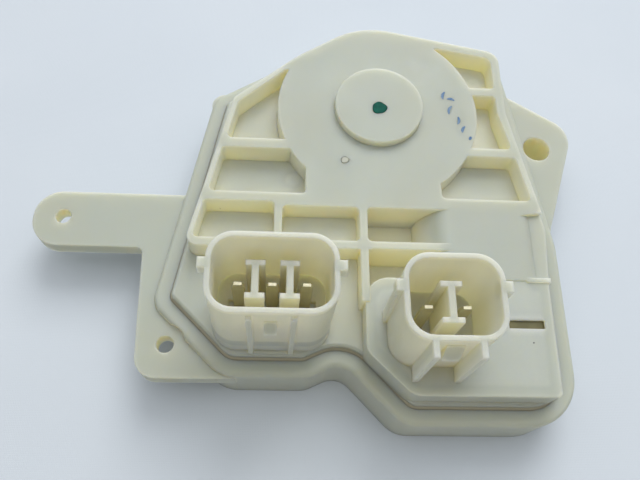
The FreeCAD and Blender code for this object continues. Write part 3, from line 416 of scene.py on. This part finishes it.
# Low drops on the cover: the paint dot, a moulding mark and two dark flecks
dropLooks = {
    "paintDot": {"x": 0.0, "y": -1.0, "top": 23.3, "radius": 1.65, "height": 0.12, "slot": "greenPaint"},
    "gateMark": {"x": -7.9, "y": -13.8, "top": 21.3, "radius": 0.9, "height": 0.025, "slot": "paleTrim"},
    "fleckRight": {"x": 29.4, "y": -54.4, "top": 21.0, "radius": 0.16, "height": 0.03, "slot": "darkFleck"},
    "fleckFront": {"x": 13.6, "y": -61.4, "top": 21.0, "radius": 0.14, "height": 0.03, "slot": "darkFleck"},
}
dropShape = {"sink": 0.02, "rings": 10, "around": 48,
             "waves": ((2, 0.05, 0.7), (3, 0.06, 2.1), (5, 0.03, 0.4))}  # waves round the rim, depth, phase
paintLook = {**plainPlastic, "tone": rgb(0.008, 0.125, 0.088), "other": rgb(0.006, 0.07, 0.055),
             "driftScale": 900.0, "driftAmount": 0.9, "speckTone": rgb(0.03, 0.2, 0.15),
             "roughLow": 0.5, "roughHigh": 0.7, "edgeRadius": 0.05, "ior": 1.25, "glow": 0.0}
fleckLook = {**plainPlastic, "tone": rgb(0.07, 0.08, 0.07), "other": rgb(0.12, 0.12, 0.1),
             "speckTone": rgb(0.05, 0.05, 0.04), "edgeRadius": 0.02, "glow": 0.0}
paleTrimLook = {**plainPlastic, "tone": rgb(0.47, 0.48, 0.40), "other": rgb(0.44, 0.45, 0.37),
                "speckTone": rgb(0.3, 0.3, 0.24), "glow": 0.0}
dropMaterials = {"greenPaint": plasticMaterial("greenPaint", paintLook),
                 "darkFleck": plasticMaterial("darkFleck", fleckLook),
                 "paleTrim": plasticMaterial("paleTrim", paleTrimLook)}


def makeDrop(name, drop, shape):
    angle = np.linspace(0, 2 * np.pi, shape["around"], endpoint=False)
    edge = np.ones_like(angle)
    for count, depth, phase in shape["waves"]:
        edge += depth * np.sin(count * angle + phase)
    run = np.linspace(0, 1, shape["rings"])
    # over the top from the middle to the rim, height h (1 - t^2)^0.5, then back under it,
    # radius(angle) = r (1 + sum of small waves)
    radius = np.concatenate([run, run[::-1][1:]]) * drop["radius"]
    rise = np.concatenate([drop["height"] * np.sqrt(1 - run ** 2), np.full(len(run) - 1, -shape["sink"])])
    x = drop["x"] + radius[:, None] * edge * np.cos(angle)
    y = drop["y"] + radius[:, None] * edge * np.sin(angle)
    z = drop["top"] + np.broadcast_to(rise[:, None], x.shape)
    piece = weld(gridMesh(name, np.stack([x, y, z], axis=-1) * mm, closeV=True, shell=True))
    piece.data.materials.append(dropMaterials[drop["slot"]])
    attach(piece, "case")


for dropName, drop in dropLooks.items():
    makeDrop(dropName, drop, dropShape)
print("stage: paint and marks")


# Plain ink dashes on the dome, each with x, y, length, angle in degrees and bow
inkLook = {**plainPlastic, "tone": rgb(0.10, 0.20, 0.40), "other": rgb(0.26, 0.36, 0.48),
           "driftScale": 1200.0, "driftAmount": 1.0, "speckTone": rgb(0.4, 0.46, 0.5), "roughLow": 0.5,
           "roughHigh": 0.7, "edgeRadius": 0.02, "ior": 1.3, "glow": 0.0}
inkDashes = {"top": 21.3, "rise": 0.03, "width": 0.34, "along": 24, "around": 12, "rows": (
    (15.7, 4.6, 2.3, 76.0, 0.35), (17.2, 3.5, 1.9, 168.0, -0.25), (16.9, 0.6, 2.6, 70.0, 0.3),
    (18.4, -2.2, 2.2, 82.0, -0.3), (19.6, -4.6, 2.0, 66.0, 0.25), (20.9, -6.9, 1.1, 60.0, 0.0))}


def makeInkDashes(ink):
    material = plasticMaterial("blueInk", inkLook)
    for number, (x0, y0, length, turn, bow) in enumerate(ink["rows"], 1):
        # line(t) = middle + t length along + bow (1 - 4 t^2) across, and round it an oval section that
        # swells by (1 - 4 t^2)^0.5
        t = np.linspace(-0.5, 0.5, ink["along"])[:, None]
        angle = np.linspace(0, 2 * np.pi, ink["around"], endpoint=False)
        swell = np.sqrt(np.clip(1 - 4 * t ** 2, 0, None))
        across = bow * (1 - 4 * t ** 2) + ink["width"] * swell * np.cos(angle)
        along = np.broadcast_to(t * length, across.shape)
        c, s = math.cos(math.radians(turn)), math.sin(math.radians(turn))
        z = ink["top"] + ink["rise"] * swell * np.sin(angle)
        points = np.stack([x0 + c * along - s * across, y0 + s * along + c * across, z], axis=-1) * mm
        piece = weld(gridMesh("inkDash%d" % number, points, closeV=True, shell=True))
        piece.data.materials.append(material)
        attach(piece, "case")


makeInkDashes(inkDashes)
print("stage: ink")


# Soft bead in the corner where the cover stands in the case's band, its darker brown tone painted shade
# of the crease; corners as x, y, radius
caseCorners = np.array([
    (-48.0, -45.3, 5.0), (-33.0, -60.3, 8.0), (-15.5, -60.3, 6.0), (-8.2, -56.9, 5.0), (3.8, -69.7, 7.0),
    (40.4, -69.7, 11.0), (40.8, -29.5, 14.0), (32.9, 20.4, 4.0), (-3.0, 29.3, 23.0), (-38.2, 6.8, 3.5)])
seamBead = {"inset": 3.75, "level": 13.5, "radius": 0.5, "sink": 0.02, "arc": 8, "perCorner": 16,
            "leastTurn": 0.01}
# painted shade: a browner, darker tone than the cover, for the shade in the crease
beadShadeLook = {**plainPlastic, "tone": rgb(0.50, 0.475, 0.36), "other": rgb(0.55, 0.53, 0.41),
            "speckTone": rgb(0.16, 0.15, 0.11), "roughLow": 0.5, "roughHigh": 0.65, "glow": 0.0}


# Points on the outline of rounded corners moved inwards: centre + (r - k inset) (cos a, sin a), where k
# is the turn's sign and a corner tighter than the inset keeps the radius leastTurn
def insetOutline(corners, inset, perCorner, leastTurn):
    here, radius = corners[:, :2], corners[:, 2]
    before, after = here - np.roll(here, 1, axis=0), np.roll(here, -1, axis=0) - here
    before /= np.linalg.norm(before, axis=1, keepdims=True)
    after /= np.linalg.norm(after, axis=1, keepdims=True)
    turn = np.arctan2(before[:, 0] * after[:, 1] - before[:, 1] * after[:, 0], np.sum(before * after, axis=1))
    side = np.sign(turn)
    middle = after - before
    middle /= np.linalg.norm(middle, axis=1, keepdims=True)
    reach = np.where(side > 0, np.maximum(radius, inset + leastTurn), radius)
    centre = here + middle * (reach / np.cos(turn / 2))[:, None]
    first = np.arctan2(-before[:, 0] * side, before[:, 1] * side)
    angle = first[:, None] + turn[:, None] * np.linspace(0, 1, perCorner)
    length = (reach - side * inset)[:, None]
    return np.stack([centre[:, :1] + length * np.cos(angle), centre[:, 1:] + length * np.sin(angle)],
                    axis=-1).reshape(-1, 2)


def makeSeamBead(bead):
    # section: a hollow quarter round between the band and the cover's side, closed behind, carried
    # along the outline as one inset per level
    sweep = np.linspace(-np.pi / 2, 0, bead["arc"])
    inset = bead["inset"] - bead["radius"] * (1 - np.cos(sweep))
    level = bead["level"] + bead["radius"] * (1 + np.sin(sweep))
    low, deep = bead["level"] - bead["sink"], bead["inset"] + bead["sink"]
    inset = np.concatenate([inset, [deep, deep, inset[0]]])
    level = np.concatenate([level, [level[-1], low, low]])
    loops = np.stack([
        insetOutline(caseCorners, one, bead["perCorner"], bead["leastTurn"]) for one in inset], axis=1)
    points = np.concatenate([loops, np.broadcast_to(level[:, None], loops.shape[:2] + (1,))], axis=-1)
    piece = gridMesh("seamBead", points * mm, closeV=True, closeU=True, shell=True)
    piece.data.materials.append(plasticMaterial("seamShadePlastic", beadShadeLook))
    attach(piece, "case")


makeSeamBead(seamBead)
print("stage: seam bead")


# Painted shadow: a dark sheet on the floor of the groove beside the two-way socket, where the groove lies
# in shade; level z = floor + bow (1 - u^2)(1 - v^2)
grooveShadowSheet = {"left": 24.82, "right": 32.28, "low": -51.48, "high": -49.72, "floor": 20.34, "bow": 0.05,
               "under": 20.31, "cells": 12}
# painted shadow: a dark olive tone for the shade inside the groove
grooveShadowLook = {**plainPlastic, "tone": rgb(0.15, 0.14, 0.07), "other": rgb(0.24, 0.22, 0.11),
              "driftScale": 160.0, "driftAmount": 1.0, "speckTone": rgb(0.1, 0.09, 0.05),
              "edgeRadius": 0.05, "ior": 1.3, "glow": 0.0}


def makeGrooveShadowSheet(groove):
    run = np.linspace(-1, 1, groove["cells"])
    u, v = np.meshgrid(run, run, indexing="ij")
    x = groove["left"] + (u + 1) / 2 * (groove["right"] - groove["left"])
    y = groove["low"] + (v + 1) / 2 * (groove["high"] - groove["low"])
    top = groove["floor"] + groove["bow"] * (1 - u ** 2) * (1 - v ** 2)
    # the upper sheet, then the lower one back under it, with a skirt down both long sides
    upper = np.stack([x, y, top], axis=-1)
    lower = np.stack([x[::-1], y, np.full_like(top, groove["under"])], axis=-1)
    points = np.concatenate([upper, lower])
    points = np.concatenate([points[:, :1], points, points[:, -1:]], axis=1)
    points[:, 0, 2] = points[:, -1, 2] = groove["under"]
    piece = weld(gridMesh("grooveShadowSheet", points * mm, closeU=True, shell=True))
    piece.data.materials.append(plasticMaterial("grooveShade", grooveShadowLook))
    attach(piece, "case")


makeGrooveShadowSheet(grooveShadowSheet)
print("stage: groove")


# Stage: a pale cloth floor with a fine weave, lamps and a pale world
floorLook = {
    "half": 1.6, "cells": 8, "drop": 0.05,
    "tone": rgb(0.72, 0.78, 0.85), "other": rgb(0.675, 0.74, 0.82), "driftScale": 14.0, "driftAmount": 0.5,
    "weave": 900.0, "weaveWander": 1.5, "weaveStrength": 0.12, "weaveDepth": 0.0002,
    "foldScale": 22.0, "foldStrength": 0.5, "foldDepth": 0.002, "rough": 0.9,
}


def clothMaterial(look):
    material, tree, shader, place = newMaterial("paleCloth")
    tone = useGroup(tree, toneDrift, {
        "Place": place, "Tone": look["tone"], "Other": look["other"], "Scale": look["driftScale"],
        "Amount": look["driftAmount"]})
    tree.links.new(tone.outputs["Color"], shader.inputs["Base Color"])
    threads = {"Vector": place, "Scale": look["weave"], "Distortion": look["weaveWander"], "Detail": 1.0}
    weft = addNode(tree, "TexWave", {"bands_direction": "X"}, threads)
    warp = addNode(tree, "TexWave", {"bands_direction": "Y"}, threads)
    woven = addNode(tree, "Math", {"operation": "MAXIMUM"}, {0: weft.outputs["Fac"], 1: warp.outputs["Fac"]})
    bump = addNode(tree, "Bump", None, {
        "Strength": look["weaveStrength"], "Distance": look["weaveDepth"], "Height": woven.outputs[0]})
    folds = addNode(tree, "TexNoise", None, {"Vector": place, "Scale": look["foldScale"], "Detail": 1.0})
    waved = addNode(tree, "Bump", None, {
        "Strength": look["foldStrength"], "Distance": look["foldDepth"], "Height": folds.outputs["Fac"],
        "Normal": bump.outputs["Normal"]})
    tree.links.new(waved.outputs["Normal"], shader.inputs["Normal"])
    shader.inputs["Roughness"].default_value = look["rough"]
    return material


def makeFloor(look):
    # height(x, y) = -drop, level everywhere and just under the object
    line = np.linspace(-look["half"], look["half"], look["cells"])
    y, x = np.meshgrid(line, line, indexing="ij")
    z = np.full_like(x, -look["drop"] * mm)
    floor = gridMesh("clothFloor", np.stack([x.T, y.T, z.T], axis=-1))
    floor.data.materials.append(clothMaterial(look))


lampLooks = {
    "windowLamp": {"place": (0.13, 0.47, 0.64), "size": 0.5, "power": 2.8, "tone": (1.0, 0.99, 0.97)},
    "topLamp": {"place": (-0.05, 0.12, 0.85), "size": 0.7, "power": 1.3, "tone": (0.97, 0.99, 1.0)},
    "roomLamp": {"place": (-0.1, -0.62, 0.22), "size": 0.4, "power": 0.34, "tone": (1.0, 0.8, 0.45)},
}


def makeLamps(looks):
    for name, look in looks.items():
        data = bpy.data.lights.new(name, "AREA")
        data.shape = "SQUARE"
        data.size = look["size"]
        data.energy = look["power"]
        data.color = look["tone"]
        lamp = bpy.data.objects.new(name, data)
        lamp.location = look["place"]
        lamp.rotation_euler = (Vector((0, 0, 0)) - Vector(look["place"])).to_track_quat("-Z", "Y").to_euler()
        bpy.context.scene.collection.objects.link(lamp)


worldLook = {"tone": rgb(0.96, 0.98, 1.0), "axis": (0.08, 0.42, 0.9), "from": -0.2, "to": 0.95,
             "level": 0.0, "overhead": 0.66, "seen": rgb(0.86, 0.9, 0.94)}


def makeWorld(look):
    world = bpy.data.worlds.new("paleRoom")
    world.use_nodes = True
    tree = world.node_tree
    light = tree.nodes["Background"]
    light.inputs["Color"].default_value = look["tone"]
    # strength(direction) climbs smoothly with the direction's share along the axis
    along = addNode(tree, "VectorMath", {"operation": "DOT_PRODUCT"}, {
        0: addNode(tree, "TexCoord").outputs["Generated"], 1: look["axis"]})
    climb = addNode(tree, "MapRange", {"interpolation_type": "SMOOTHSTEP"}, {
        "Value": along.outputs["Value"], "From Min": look["from"], "From Max": look["to"],
        "To Min": look["level"], "To Max": look["overhead"]})
    tree.links.new(climb.outputs["Result"], light.inputs["Strength"])
    seen = addNode(tree, "Background", None, {"Color": look["seen"], "Strength": 1.0})
    path = addNode(tree, "LightPath")
    mixed = addNode(tree, "MixShader", None, {0: path.outputs["Is Camera Ray"]})
    tree.links.new(light.outputs[0], mixed.inputs[1])
    tree.links.new(seen.outputs[0], mixed.inputs[2])
    tree.links.new(mixed.outputs[0], tree.nodes["World Output"].inputs["Surface"])
    bpy.context.scene.world = world


makeFloor(floorLook)
makeLamps(lampLooks)
makeWorld(worldLook)
bpy.context.scene.view_settings.view_transform = "Standard"
print("stage: floor and lamps")
